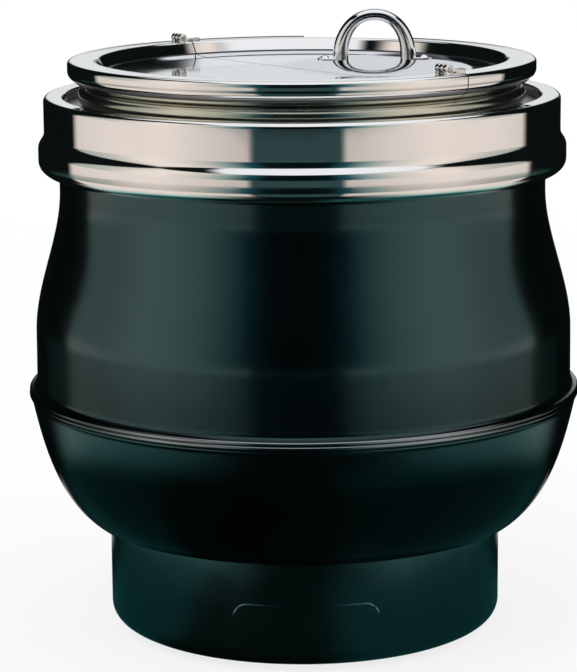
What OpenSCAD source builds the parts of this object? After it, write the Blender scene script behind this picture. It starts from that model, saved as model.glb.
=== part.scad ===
// Electric soup kettle. A black drum and a two-part black body hold a heated water bath under a
// polished collar. A rolled-rim soup pot hangs in the bath, and a half-hinged lid with an arch
// handle and a ladle relief covers it. Millimetres, +Z up, front towards -Y. The origin is on the
// surface that the kettle stands on, under the middle of the base.

/* [Base drum] */
// Outer radius of the base drum
drum_r = 121.5; // [112:0.5:126]
// Height of the drum, from its underside to the bowl
drum_h = 67; // [62:1:80]
// Radius of the drum's bottom edge
drum_edge_r = 10; // [6:1:14]
// Gap between the drum's underside and the surface it stands on
foot_gap = 3; // [2.6:0.2:6]
// Sheet thickness of the drum, bowl and shells
body_t = 1.2; // [0.8:0.1:1.6]
// Height of the knob, lamp and cord gland above the drum's underside
control_h = 35; // [30:1:40]
// Radius of the rubber feet
foot_r = 11; // [8:0.5:13]
// Radius of the circle that the feet stand on
foot_circle_r = 88; // [70:1:90]

/* [Body] */
// Outer radius of the bowl at its shoulder
bowl_r = 168.8; // [160:0.2:176]
// Height of the bowl, from the drum to the shoulder
bowl_h = 76.4; // [66:0.2:90]
// How far the rolled bead stands out past the bowl
bead_out = 1.2; // [0.4:0.1:3]
// Height of the bead
bead_h = 15; // [12:0.5:18]
// Outer radius of the upper shell's straight neck
neck_r = 148.5; // [147:0.1:150]
// Height of the upper shell, from the bowl's shoulder to its top flange
shell_h = 175.2; // [165:0.2:190]

/* [Collar] */
// Outer radius of the collar's lower roll
collar_r = 161; // [158:0.2:164]
// Outer radius of the collar's upper wall
collar_wall_r = 157.3; // [155:0.1:158.5]
// Radius of the opening in the collar's top
collar_mouth_r = 145.4; // [144:0.1:147]
// Height of the collar, lower edge to top
collar_h = 47.2; // [44:0.2:52]
// Height of the collar's top above the deck
collar_lip_h = 6.5; // [4:0.5:9]

/* [Water bath] */
// Inner radius of the deck, which carries the pot's rim
deck_mouth_r = 127.5; // [126.5:0.1:128]
// Outer radius of the tank
tank_r = 135.2; // [131:0.1:136]
// Height of the tank's floor above the top of the drum
tank_lift = 18; // [16:0.5:24]
// Sheet thickness of the tank and deck
tank_t = 1.2; // [0.8:0.1:1.4]

/* [Soup pot] */
// Inner radius of the soup pot
pot_r = 123.5; // [120:0.1:124]
// Depth of the soup pot, floor to rim top
pot_depth = 232; // [200:1:236]
// Sheet thickness of the pot
pot_t = 1; // [0.7:0.1:1.2]
// Radius of the rolled rim
roll_r = 6.4; // [5.6:0.1:7]

/* [Lid] */
// Outer radius of the lid
lid_r = 142.4; // [140:0.1:143.5]
// Height of the lid's rim
lid_h = 14.6; // [13:0.2:20]
// Depth of the flat plate below the rim's top
plate_drop = 9; // [7:0.5:10]
// Width of the rim's flat top
rim_w = 15.4; // [14:0.2:17]
// Sheet thickness of the lid
lid_t = 1; // [0.7:0.1:1.2]
// Direction of the hinged half, counted from +X
flap_angle = 37.9; // [0:0.1:90]
// Distance from the kettle's axis to the slit between the halves
slit_place = 9; // [8.6:0.1:12]
// Width of the slit
slit_w = 0.8; // [0.6:0.1:1.2]
// Distance from the kettle's axis to the hinge pins
hinge_place = 1.5; // [0.5:0.1:1.8]
// Radius of the hinge knuckles
knuckle_r = 2.6; // [2.2:0.1:3]
// Distance from the lid's edge in to the middle of each knuckle
knuckle_in = 12.9; // [8:0.1:15]
// Length of each hinge knuckle, its two lugs included
knuckle_l = 10; // [8:0.5:14]
// Radius of the hinge pins
pin_r = 1.3; // [1:0.1:1.5]
// Start and end of the ladle relief in the rim, counted from +X
relief = [60, 89]; // [0:1:180]

/* [Handle] */
// Place of the handle's middle on the lid
handle_place = [46.6, 72]; // [0:0.1:90]
// Outer width of the handle
handle_w = 53; // [46:1:60]
// Height of the handle above the lid's plate
handle_h = 32; // [28:1:36]
// Thickness of the handle's arch at its top
handle_t = 7.3; // [6:0.1:9]
// Depth of the handle, front to back
handle_depth = 10.5; // [8:0.5:12]

/* [Controls] */
// Direction of the thermostat knob, counted from +X
knob_angle = 90; // [80:1:100]
// Direction of the signal lamp
lamp_angle = 66; // [60:1:70]
// Direction of the cord gland
gland_angle = 120; // [115:1:130]
// Radius of the knob
knob_r = 19; // [17:0.5:20]
// Radius of the thermostat's spindle
spindle_r = 3; // [2.5:0.1:3.2]
// Radius of the gland's bore
gland_bore_r = 3.8; // [3:0.1:4.2]

/* [Hidden] */

$fn = 96;
gloss_black = [0.03, 0.035, 0.03];
polished = [0.82, 0.82, 0.82];
satin = [0.66, 0.67, 0.68];
dark_steel = [0.35, 0.36, 0.37];
zinc = [0.6, 0.61, 0.62];
rubber_black = [0.08, 0.08, 0.08];

seat_gap = 0.3;     // between pieces that rest on each other and lift apart
run_gap = 0.05;     // round a turning shaft or pin
hole_gap = 0.2;     // round a screw or stud in its hole
side_gap = 0.3;     // beside a moving knuckle or strap

drum_z = foot_gap;
drum_top = drum_z + drum_h;
control_z = drum_z + control_h;
shoulder_z = drum_top + bowl_h;
shell_top = shoulder_z + shell_h;
flange_top = shell_top + body_t;
deck_z = flange_top + tank_t;
collar_top = deck_z + collar_lip_h;
tank_z = drum_top + tank_lift;
roll_z = deck_z + seat_gap + roll_r;
pot_top = roll_z + roll_r;
roll_c = pot_r + roll_r;
lid_z = pot_top + seat_gap;
lid_top = lid_z + lid_h;
plate_z = lid_top - plate_drop;
hinge_z = lid_top + knuckle_r + side_gap;
rim_inner_r = lid_r - rim_w;
knuckle_place = lid_r - knuckle_in;

drum_flange_r = drum_r - drum_edge_r - 7.5;
drum_top_flange_r = drum_r - 11.5;
plate_r = drum_r - drum_edge_r - 1.5;
plate_screw_r = (drum_flange_r + plate_r) / 2 + 0.3;
drum_screw_r = drum_r - 7;
plate_bottom = drum_z + body_t;
plate_top = plate_bottom + body_t;

bowl_hole_r = 88;
tie_r = 104;
element_r = 72;
element_tube_r = 4;
element_gap = 0.1;
clamp_t = 1.5;
clamp_hole_r = 34;
clamp_r = 94;
clamp_top = tank_z - 2 * (element_tube_r + element_gap);
clamp_stud_r = 52;
m5_r = 2.5;
m5_af = 8;
m5_nut_h = 4;
m4_r = 2;
m4_af = 7;
m4_nut_h = 3.2;
m4_head_r = 3.5;
m4_head_h = 2.4;
m4_l = 8;
spindle_back = 12;
spindle_front = 11.5;

// ---- outlines and sheet metal ----

// Points of an arc about c, from angle a0 to a1
function arc(c, r, a0, a1, n = 6) =
  [for (i = [0 : n]) let (a = a0 + (a1 - a0) * i / n) c + r * [cos(a), sin(a)]];

// Points of a smooth curve from p0 to p3, pulled towards p1 and p2
function curve(p0, p1, p2, p3, n = 12) =
  [for (i = [0 : n]) let (t = i / n, s = 1 - t)
    s * s * s * p0 + 3 * s * s * t * p1 + 3 * s * t * t * p2 + t * t * t * p3];

function unit(v) = v / norm(v);
function normal(path, i) = let (d = unit(path[i + 1] - path[i])) [-d[1], d[0]];
function miter(path, i) =
  i == 0 ? normal(path, 0)
  : i == len(path) - 1 ? normal(path, i - 1)
  : let (a = normal(path, i - 1), b = normal(path, i)) (a + b) / (1 + a * b);
function beside(path, t) = [for (i = [0 : len(path) - 1]) path[i] + t * miter(path, i)];
function reversed(path) = [for (i = [len(path) - 1 : -1 : 0]) path[i]];

// A turned sheet: the path is one face, and the metal lies t to its left
module turned_sheet(path, t) {
  rotate_extrude() polygon(concat(path, reversed(beside(path, t))));
}

module ring(inner, outer, z, h) {
  translate([0, 0, z]) rotate_extrude() translate([inner, 0]) square([outer - inner, h]);
}

module spread(angles, r) {
  for (a = angles) rotate([0, 0, a]) translate([r, 0, 0]) children();
}

module hex_nut(af, h, bore) {
  difference() {
    cylinder(r = af / 2 / cos(30), h = h, $fn = 6);
    translate([0, 0, -1]) cylinder(r = bore, h = h + 2);
  }
}

// Places its children on the drum's wall, with +Z outwards
module on_drum(angle) {
  rotate([0, 0, angle]) translate([drum_r, 0, control_z]) rotate([0, 90, 0]) children();
}

// ---- base ----

foot_angles = [45, 135, 225, 315];
plate_screw_angles = [0, 90, 180, 270];
drum_screw_angles = [45, 135, 225, 315];
bush_r = 5;
lamp_hole_r = 5.1;
gland_hole_r = 7.6;
foot_neck_r = 3;
vent_w = 5;
vent_r = [36, 66];

drum_path = concat(
  [[drum_flange_r, drum_z]],
  arc([drum_r - drum_edge_r, drum_z + drum_edge_r], drum_edge_r, -90, 0, 8),
  arc([drum_r - 3, drum_top - 3], 3, 0, 90, 5),
  [[drum_top_flange_r, drum_top]]
);

module base_drum() {
  color(gloss_black) difference() {
    turned_sheet(drum_path, body_t);
    on_drum(knob_angle) translate([0, 0, -10]) cylinder(r = bush_r + hole_gap, h = 20);
    on_drum(lamp_angle) translate([0, 0, -10]) cylinder(r = lamp_hole_r + hole_gap, h = 20);
    on_drum(gland_angle) translate([0, 0, -10]) cylinder(r = gland_hole_r + hole_gap, h = 20);
    spread(plate_screw_angles, plate_screw_r)
      translate([0, 0, drum_z - 1]) cylinder(r = m4_r + hole_gap, h = body_t + 2);
    spread(drum_screw_angles, drum_screw_r)
      translate([0, 0, drum_top - body_t - 1]) cylinder(r = m4_r + hole_gap, h = body_t + 2);
  }
}

module vent() {
  translate([vent_r[0], -vent_w / 2, 0]) square([vent_r[1] - vent_r[0], vent_w]);
  for (x = vent_r) translate([x, 0]) circle(r = vent_w / 2);
}

module base_plate() {
  color(dark_steel) difference() {
    translate([0, 0, plate_bottom]) cylinder(r = plate_r, h = body_t);
    for (a = [0 : 30 : 330])
      rotate([0, 0, a + 15]) translate([0, 0, plate_bottom - 1]) linear_extrude(body_t + 2) vent();
    spread(foot_angles, foot_circle_r)
      translate([0, 0, plate_bottom - 1]) cylinder(r = foot_neck_r + hole_gap, h = body_t + 2);
    spread(plate_screw_angles, plate_screw_r)
      translate([0, 0, plate_bottom - 1]) cylinder(r = m4_r + hole_gap, h = body_t + 2);
    translate([earth_place[0], earth_place[1], plate_bottom - 1])
      cylinder(r = m4_r + hole_gap, h = body_t + 2);
  }
}

module base_plate_screws() {
  color(zinc) spread(plate_screw_angles, plate_screw_r) {
    difference() {
      translate([0, 0, drum_z - 2]) cylinder(r1 = 2.8, r2 = 3.4, h = 2);
      translate([0, 0, drum_z - 2.5]) cylinder(r = 1.2, h = 1.3);
    }
    translate([0, 0, drum_z - 0.2]) cylinder(r = m4_r, h = 9);
    translate([0, 0, plate_top]) hex_nut(m4_af, m4_nut_h, m4_r + hole_gap / 4);
  }
}

module foot() {
  cylinder(r1 = foot_r - 1, r2 = foot_r, h = plate_bottom);
  translate([0, 0, plate_bottom - 0.5]) cylinder(r = foot_neck_r, h = body_t + 1);
  translate([0, 0, plate_top]) cylinder(r1 = foot_neck_r + 2, r2 = foot_neck_r, h = 4);
}

module feet() {
  color(rubber_black) spread(foot_angles, foot_circle_r) foot();
}

module drum_screws() {
  color(zinc) spread(drum_screw_angles, drum_screw_r) {
    translate([0, 0, drum_top - body_t - m4_head_h])
      cylinder(r1 = m4_head_r * 0.8, r2 = m4_head_r, h = m4_head_h);
    translate([0, 0, drum_top - body_t - 0.5]) cylinder(r = m4_r, h = m4_l);
    translate([0, 0, drum_top + body_t]) hex_nut(m4_af, m4_nut_h, m4_r + hole_gap / 4);
  }
}

// ---- body shells ----

shoulder_in = 1.5;
bowl_path = concat(
  [[bowl_hole_r, drum_top]],
  curve([bowl_r - 35.1, drum_top], [bowl_r - 12.2, drum_top + 0.217 * bowl_h],
        [bowl_r - 4.8, shoulder_z - 0.285 * bowl_h], [bowl_r, shoulder_z], 16),
  [[bowl_r - shoulder_in, shoulder_z + 0.7], [bowl_r - shoulder_in, shoulder_z + 7]]
);

module lower_bowl() {
  color(gloss_black) difference() {
    turned_sheet(bowl_path, body_t);
    spread(tie_angles, tie_r)
      translate([0, 0, drum_top - 1]) cylinder(r = m5_r + hole_gap, h = body_t + 2);
    spread(drum_screw_angles, drum_screw_r)
      translate([0, 0, drum_top - 1]) cylinder(r = m4_r + hole_gap, h = body_t + 2);
  }
}

bead_r = bowl_r + bead_out;
bead_z = shoulder_z + 3.6;
bead_top = shoulder_z + bead_h + 3.6;
belly_r = bead_r - 5;
waist_z = bead_top + 21;
neck_h = 48.6;
neck_z = shell_top - neck_h;
flange_inner_r = tank_r + 2.3;
shell_path = concat(
  arc([bead_r - 3, bead_z], 3, -60, 0, 5),
  curve([bead_r, bead_z + 0.5], [bead_r, bead_z + 5], [belly_r + 0.6, bead_top - 6],
        [belly_r, bead_top], 8),
  curve([belly_r - 0.2, waist_z], [belly_r - 0.2, waist_z + 29.4], [neck_r, neck_z - 29.4],
        [neck_r, neck_z], 16),
  arc([neck_r - 3, shell_top - 3], 3, 0, 90, 4),
  [[flange_inner_r, shell_top]]
);

module upper_shell() {
  color(gloss_black) turned_sheet(shell_path, body_t);
}

collar_z = collar_top - collar_h;
collar_path = concat(
  curve([neck_r + 0.4, collar_z], [neck_r + 7.5, collar_z - 0.2], [collar_r, collar_z + 3.2],
        [collar_r, collar_z + 8.6], 9),
  curve([collar_r, collar_z + 15.6], [collar_r, collar_z + 20.3],
        [collar_wall_r, collar_z + 20.9], [collar_wall_r, collar_z + 25.8], 9),
  arc([collar_wall_r - 2, collar_top - 2], 2, 0, 90, 5),
  arc([collar_mouth_r + 1.6, collar_top - 1.6], 1.6, 90, 180, 5),
  [[collar_mouth_r, flange_top], [flange_inner_r, flange_top]]
);

module collar() {
  color(polished) turned_sheet(collar_path, body_t);
}

// ---- water bath and heating ----

tie_angles = [30, 150, 270];
clamp_stud_angles = [90, 210, 330];
tank_corner_r = 18;
deck_path = concat(
  [[collar_mouth_r - 0.5, deck_z]],
  arc([deck_mouth_r + 1.5, deck_z - 1.5], 1.5, 90, 180, 4),
  [[deck_mouth_r, deck_z - 6]]
);
tank_path = concat(
  [[0, tank_z]],
  arc([tank_r - tank_corner_r, tank_z + tank_corner_r], tank_corner_r, -90, 0, 8),
  [[tank_r, deck_z - tank_t + 0.4]]
);

module water_bath() {
  color(dark_steel) {
    turned_sheet(deck_path, tank_t);
    turned_sheet(tank_path, tank_t);
  }
}

module tie_studs() {
  color(zinc) spread(tie_angles, tie_r)
    translate([0, 0, drum_top - 12]) cylinder(r = m5_r, h = tank_z - drum_top + 12);
}

module tie_nuts() {
  color(zinc) spread(tie_angles, tie_r) {
    translate([0, 0, drum_top - 1]) difference() {
      cylinder(r = 5, h = 1);
      translate([0, 0, -1]) cylinder(r = m5_r + hole_gap, h = 3);
    }
    translate([0, 0, drum_top - 1 - m5_nut_h]) hex_nut(m5_af, m5_nut_h, m5_r + hole_gap / 4);
  }
}

element_z = tank_z - element_gap - element_tube_r;
element_ends = [285, 255];
leg_h = 30;

module heating_element() {
  color(satin) {
    rotate([0, 0, element_ends[0]]) translate([0, 0, element_z])
      rotate_extrude(angle = 330) translate([element_r, 0]) circle(r = element_tube_r);
    spread(element_ends, element_r) {
      translate([0, 0, element_z]) sphere(r = element_tube_r);
      translate([0, 0, element_z - leg_h]) cylinder(r = element_tube_r, h = leg_h);
      translate([0, 0, element_z - leg_h - 6]) cylinder(r = 1.5, h = 7);
    }
  }
}

module element_plate() {
  color(dark_steel) difference() {
    ring(clamp_hole_r, clamp_r, clamp_top - clamp_t, clamp_t);
    spread(clamp_stud_angles, clamp_stud_r)
      translate([0, 0, clamp_top - clamp_t - 1]) cylinder(r = m5_r + hole_gap, h = clamp_t + 2);
    spread(element_ends, element_r)
      translate([0, 0, clamp_top - clamp_t - 1]) cylinder(r = element_tube_r + 1, h = clamp_t + 2);
  }
}

module element_studs() {
  color(zinc) spread(clamp_stud_angles, clamp_stud_r)
    translate([0, 0, clamp_top - clamp_t - 7]) cylinder(r = m5_r, h = tank_z - clamp_top + clamp_t + 7);
}

module element_nuts() {
  color(zinc) spread(clamp_stud_angles, clamp_stud_r)
    translate([0, 0, clamp_top - clamp_t - m5_nut_h]) hex_nut(m5_af, m5_nut_h, m5_r + hole_gap / 4);
}

// ---- controls and wiring parts ----

thermostat_w = 34;
thermostat_h = 30;
thermostat_d = 26;
thermostat_back = 8;
bulb_r = 3;
bulb_l = 50;
capillary_r = 1.2;
earth_place = [-24, 84];
block_place = [-45, 45];
block_size = [36, 20, 18];

module thermostat() {
  color([0.85, 0.83, 0.76]) on_drum(knob_angle) difference() {
    union() {
      translate([-thermostat_h / 2, -thermostat_w / 2, -thermostat_back - thermostat_d])
        cube([thermostat_h, thermostat_w, thermostat_d]);
      translate([0, 0, -thermostat_back - 1]) cylinder(r = bush_r, h = thermostat_back + 3.5);
    }
    translate([0, 0, -thermostat_back - 14]) cylinder(r = spindle_r + run_gap, h = 40);
  }
}

module thermostat_nut() {
  color(zinc) on_drum(knob_angle) translate([0, 0, 0.3]) hex_nut(13, 2, bush_r + hole_gap / 4);
}

bulb_z = tank_z - bulb_r - 0.2;
capillary_bend = 8;
capillary_start = drum_r - thermostat_back - thermostat_d - 0.2;
riser_y = 30;
bulb_y = riser_y - capillary_bend;

// A quarter bend in the upright plane, with its middle at height z and distance y
module bend(y, z, from) {
  translate([0, y, z]) rotate([90, 0, 90]) rotate([0, 0, from])
    rotate_extrude(angle = 90) translate([capillary_bend, 0]) circle(r = capillary_r);
}

module thermostat_bulb() {
  color([0.72, 0.45, 0.3]) rotate([0, 0, knob_angle - 90]) {
    translate([0, riser_y + capillary_bend, control_z]) rotate([-90, 0, 0])
      cylinder(r = capillary_r, h = capillary_start - riser_y - capillary_bend);
    bend(riser_y + capillary_bend, control_z + capillary_bend, 180);
    translate([0, riser_y, control_z + capillary_bend])
      cylinder(r = capillary_r, h = bulb_z - control_z - 2 * capillary_bend);
    bend(bulb_y, bulb_z - capillary_bend, 0);
    translate([0, bulb_y, bulb_z]) rotate([90, 0, 0]) cylinder(r = bulb_r, h = bulb_l);
  }
}

module bulb_clip() {
  color(zinc) rotate([0, 0, knob_angle - 90]) difference() {
    translate([-12, -10, bulb_z - bulb_r - 1.2]) cube([24, 12, tank_z - bulb_z + bulb_r + 1.2]);
    translate([0, 4, bulb_z]) rotate([90, 0, 0]) cylinder(r = bulb_r + 0.1, h = 20);
    translate([-bulb_r - 0.1, -11, bulb_z]) cube([2 * bulb_r + 0.2, 14, bulb_r + 2]);
    for (x = [-13, 5]) translate([x, -11, bulb_z - bulb_r - 2]) cube([8, 14, 6.2]);
  }
}

module overheat_cutout() {
  color([0.9, 0.89, 0.86]) spread([150], 58) {
    translate([0, 0, clamp_top - clamp_t - 1]) cylinder(r = 11, h = 1);
    translate([0, 0, clamp_top - clamp_t - 11]) cylinder(r = 8, h = 10.5);
    for (y = [-5, 5]) translate([-3, y - 0.4, clamp_top - clamp_t - 18]) cube([6, 0.8, 8]);
  }
}

module terminal_block() {
  color([0.92, 0.9, 0.84]) translate([block_place[0], block_place[1], plate_top])
    rotate([0, 0, 45]) difference() {
      translate([-block_size[0] / 2, -block_size[1] / 2, 0]) cube(block_size);
      for (x = [-12, 0, 12]) {
        translate([x - 2.5, -block_size[1] / 2 - 1, 5]) cube([5, block_size[1] + 2, 5]);
        for (y = [-5, 5]) translate([x, y, 9]) cylinder(r = 2.6, h = 12);
      }
    }
}

module terminal_screws() {
  color([0.78, 0.62, 0.3]) translate([block_place[0], block_place[1], plate_top])
    rotate([0, 0, 45]) for (x = [-12, 0, 12]) {
      translate([x - 2.3, -8.5, 5.2]) cube([4.6, 17, 4.6]);
      for (y = [-5, 5]) translate([x, y, 9.5]) cylinder(r = 2.4, h = 6);
    }
}

module earth_stud() {
  color([0.78, 0.62, 0.3]) translate([earth_place[0], earth_place[1], 0]) {
    translate([0, 0, plate_bottom - 1]) cylinder(r = 3.6, h = 1);
    translate([0, 0, plate_bottom - 0.5]) cylinder(r = m4_r, h = 14);
    translate([0, 0, plate_top]) hex_nut(m4_af, m4_nut_h, m4_r + hole_gap / 4);
  }
}

module lamp_lens() {
  color([0.85, 0.2, 0.1]) on_drum(lamp_angle) {
    translate([0, 0, 0.3]) cylinder(r = 6.5, h = 1.5);
    translate([0, 0, 1.8]) intersection() {
      translate([0, 0, -4]) sphere(r = 7);
      cylinder(r = 6, h = 5);
    }
    translate([0, 0, -6]) cylinder(r = lamp_hole_r, h = 7);
  }
}

module lamp_holder() {
  color([0.12, 0.12, 0.12]) on_drum(lamp_angle) {
    difference() {
      translate([0, 0, -22]) cylinder(r = 7.5, h = 20);
      translate([0, 0, -6.2]) cylinder(r = lamp_hole_r + 0.1, h = 8);
    }
    for (y = [-3, 3]) translate([-2, y - 0.4, -29]) cube([4, 0.8, 8]);
  }
}

module cord_gland() {
  color(rubber_black) on_drum(gland_angle) difference() {
    union() {
      translate([0, 0, 0.6]) cylinder(r = 11, h = 5, $fn = 6);
      translate([0, 0, 5]) cylinder(r1 = 9.2, r2 = 7, h = 8);
      translate([0, 0, -12]) cylinder(r = gland_hole_r, h = 13);
    }
    translate([0, 0, -13]) cylinder(r = gland_bore_r, h = 30);
  }
}

module gland_nut() {
  color(rubber_black) on_drum(gland_angle) translate([0, 0, -6.4])
    hex_nut(20, 4.5, gland_hole_r + hole_gap / 4);
}

// ---- soup pot ----

pot_floor = pot_top - pot_depth;
pot_path = concat(
  [[0, pot_floor - pot_t]],
  arc([pot_r + pot_t - 16, pot_floor - pot_t + 16], 16, -90, 0, 8),
  arc([roll_c, roll_z], roll_r - pot_t, 180, -90, 18)
);

module soup_pot() {
  color(satin) turned_sheet(pot_path, pot_t);
}

// ---- lid ----

rim_edge_r = 2.5;
foot_r2 = rim_inner_r - rim_edge_r - 0.9;
lip_in = 20.4;
lip_r = lid_r - lip_in;
curl_r = lid_r - 7;
rim_path = concat(
  arc([foot_r2 - 2, plate_z + 2], 2, -90, 0, 4),
  arc([rim_inner_r, lid_top - rim_edge_r], rim_edge_r, 180, 90, 5),
  arc([lid_r - rim_edge_r, lid_top - rim_edge_r], rim_edge_r, 90, 0, 5),
  curve([lid_r, lid_z + 8], [lid_r - 0.4, lid_z + 5.2], [lid_r - 3.8, lid_z + 3.2],
        [curl_r, lid_z + 2], 8),
  [[curl_r, lid_z]]
);
lid_path = concat(
  [[0, plate_z]],
  rim_path,
  arc([lip_r + 1.6, lid_z - 1.6], 1.6, 90, 180, 4),
  [[lip_r, lid_z - 6]]
);
rim_core_path = concat(beside(rim_path, -lid_t / 2), [[foot_r2 + 0.5, lid_z + lid_t / 2]]);

module lid_sheet() {
  turned_sheet(lid_path, -lid_t);
}

// The space inside the hollow rim, out to the middle of its sheet
module rim_core(angle = 360) {
  rotate_extrude(angle = angle) polygon([for (p = rim_core_path) if (p[0] > foot_r2) p]);
}

// A box that holds all of the lid from one distance past the axis to another
module across(from, to) {
  rotate([0, 0, flap_angle]) translate([from, -lid_r - 5, lid_z - 10])
    cube([to - from, 2 * lid_r + 10, lid_h + 20]);
}

// Places its children at each end of the hinge line, with +X outwards along it
module hinge_ends() {
  rotate([0, 0, flap_angle]) for (side = [0, 1])
    mirror([0, side, 0]) translate([hinge_place, 0, hinge_z]) rotate([0, 0, 90]) children();
}

lug_l = knuckle_l * 0.3;
lugs = [for (side = [-1, 1]) let (m = knuckle_place + side * (knuckle_l - lug_l) / 2)
  [m - lug_l / 2, m + lug_l / 2]];
knuckle = [lugs[0][1] + side_gap, lugs[1][0] - side_gap];
strap_l = 15.5;
strap_w = knuckle[1] - knuckle[0];
strap_t = 1.6;
bridge_r = 7;
bridge_drop = 4.2;

module barrel(span, r) {
  translate([span[0], 0, 0]) rotate([0, 90, 0]) cylinder(r = r, h = span[1] - span[0]);
}

fixed_edge = slit_place - slit_w / 2;
flap_edge = slit_place + slit_w / 2;
fold_h = 6;
fold_l = 2 * (foot_r2 - 5);

// The folded edge of each half along the slit
module edge_fold(from) {
  rotate([0, 0, flap_angle]) translate([from, -fold_l / 2, plate_z - fold_h])
    cube([lid_t, fold_l, fold_h - lid_t / 2]);
}

// The arched gap that the slit ends in, under the rim's curl
module slit_arches() {
  rotate([0, 0, flap_angle]) for (side = [0, 1]) mirror([0, side, 0])
    translate([slit_place, lid_r - 9, lid_z - bridge_drop]) rotate([-90, 0, 0])
      cylinder(r = bridge_r, h = 20);
}

module lid_fixed_half() {
  color(polished) difference() {
    union() {
      difference() {
        union() {
          intersection() {
            lid_sheet();
            across(-lid_r - 5, fixed_edge);
          }
          intersection() {
            rim_core();
            across(fixed_edge - lid_t, fixed_edge);
          }
        }
        slit_arches();
      }
      edge_fold(fixed_edge - lid_t);
      hinge_ends() for (span = lugs) {
        barrel(span, knuckle_r);
        translate([span[0], -knuckle_r + 0.4, -knuckle_r - side_gap - lid_t / 2])
          cube([span[1] - span[0], 2 * knuckle_r - 0.8, knuckle_r + side_gap + lid_t / 2]);
      }
    }
    hinge_ends() barrel([lugs[0][0] - 8, lugs[1][1] + 8], pin_r + run_gap);
  }
}

module hinge_pins() {
  color(zinc) hinge_ends() barrel([lugs[0][0] - 0.4, lugs[1][1] + 0.4], pin_r);
}

// The wedge of the rim that the ladle relief takes away
relief_r = rim_inner_r + 1.5;
module relief_wedge() {
  rotate([0, 0, relief[0]]) rotate_extrude(angle = relief[1] - relief[0])
    translate([relief_r, lid_z - 10]) square([30, lid_h + 20]);
}

// The walls that close the hollow rim round the relief, before the wedge is cut
module relief_walls() {
  intersection() {
    rim_core();
    union() {
      rotate([0, 0, relief[0] - 1]) rotate_extrude(angle = relief[1] - relief[0] + 2)
        translate([relief_r - lid_t, lid_z - 9]) square([lid_t + 0.5, lid_h + 18]);
      for (end = [0, 1]) rotate([0, 0, relief[end]])
        translate([relief_r - lid_t / 2, end == 0 ? -lid_t : -0.5, lid_z - 8])
          cube([30, lid_t + 0.5, lid_h + 16]);
    }
  }
}

module hinge_strap() {
  translate([knuckle[0], -strap_l, -knuckle_r]) cube([strap_w, strap_l, strap_t]);
  translate([knuckle[0], -strap_l, -knuckle_r - side_gap - lid_t / 2])
    cube([strap_w, strap_l - (flap_edge - hinge_place) - 0.3, lid_t + side_gap]);
}

module lid_flap() {
  color(polished) difference() {
    union() {
      difference() {
        union() {
          intersection() {
            lid_sheet();
            across(flap_edge, lid_r + 5);
          }
          intersection() {
            rim_core();
            across(flap_edge, flap_edge + lid_t);
          }
          relief_walls();
        }
        relief_wedge();
        slit_arches();
      }
      edge_fold(flap_edge);
      hinge_ends() {
        barrel(knuckle, knuckle_r);
        hinge_strap();
      }
    }
    hinge_ends() barrel([knuckle[0] - 1, knuckle[1] + 1], pin_r + run_gap);
    handle_rivet_places() translate([0, 0, plate_z - 3]) cylinder(r = rivet_r + run_gap, h = 5);
  }
}

// ---- lid handle ----

rivet_r = 1.6;
tab_l = 9;
tab_t = 1.4;
arch_inner_r = handle_w / 2 - 10;
arch_top = handle_h - handle_t;

module handle_rivet_places() {
  for (side = [-1, 1])
    translate([handle_place[0] + side * (handle_w / 2 + tab_l - 4), handle_place[1], 0]) children();
}

// The arch's outline, with both legs
module handle_outline() {
  difference() {
    union() {
      translate([0, handle_h - handle_w / 2]) circle(r = handle_w / 2);
      translate([-handle_w / 2, 0]) square([handle_w, handle_h - handle_w / 2]);
    }
    translate([0, arch_top - arch_inner_r]) circle(r = arch_inner_r);
    translate([-arch_inner_r, -1]) square([2 * arch_inner_r, arch_top - arch_inner_r + 1]);
    translate([-handle_w, -handle_w]) square([2 * handle_w, handle_w]);
  }
}

module lid_handle() {
  color(polished) translate([handle_place[0], handle_place[1], plate_z]) {
    translate([0, handle_depth / 2, 0]) rotate([90, 0, 0])
      linear_extrude(handle_depth) handle_outline();
    for (side = [-1, 1]) difference() {
      hull() for (x = [handle_w / 2 - 3, handle_w / 2 + tab_l - 4])
        translate([side * x, 0, 0]) cylinder(r = 4.6, h = tab_t, $fn = 32);
      translate([side * (handle_w / 2 + tab_l - 4), 0, -1]) cylinder(r = rivet_r + run_gap, h = tab_t + 2);
    }
  }
}

module handle_rivets() {
  color(satin) handle_rivet_places() {
    translate([0, 0, plate_z - lid_t - 0.8]) cylinder(r = rivet_r + 1.2, h = 0.8);
    translate([0, 0, plate_z - lid_t - 0.4]) cylinder(r = rivet_r, h = lid_t + tab_t + 1);
    translate([0, 0, plate_z + tab_t]) intersection() {
      translate([0, 0, -2.6]) sphere(r = 4);
      cylinder(r = 3.1, h = 3);
    }
  }
}

// ---- knob ----

knob_lift = 1.3;
knob_h = 18;

module thermostat_knob() {
  color([0.05, 0.05, 0.05]) on_drum(knob_angle) difference() {
    union() {
      translate([0, 0, knob_lift]) cylinder(r = knob_r, h = 4);
      translate([0, 0, knob_lift + 3.5]) cylinder(r1 = knob_r - 2, r2 = knob_r - 4, h = knob_h - 3.5);
    }
    translate([0, 0, knob_lift - 1]) cylinder(r = 9, h = 4.4);
    translate([0, 0, knob_lift - 1]) cylinder(r = spindle_r + run_gap, h = 13);
    for (side = [-1, 1])
      translate([-knob_r - 1, side < 0 ? -knob_r - 5 : 5, knob_lift + 7])
        cube([2 * knob_r + 2, knob_r, knob_h]);
  }
}

module spindle() {
  color(zinc) on_drum(knob_angle) translate([0, 0, -thermostat_back - spindle_back])
    cylinder(r = spindle_r, h = thermostat_back + spindle_back + knob_lift + spindle_front);
}

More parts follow.
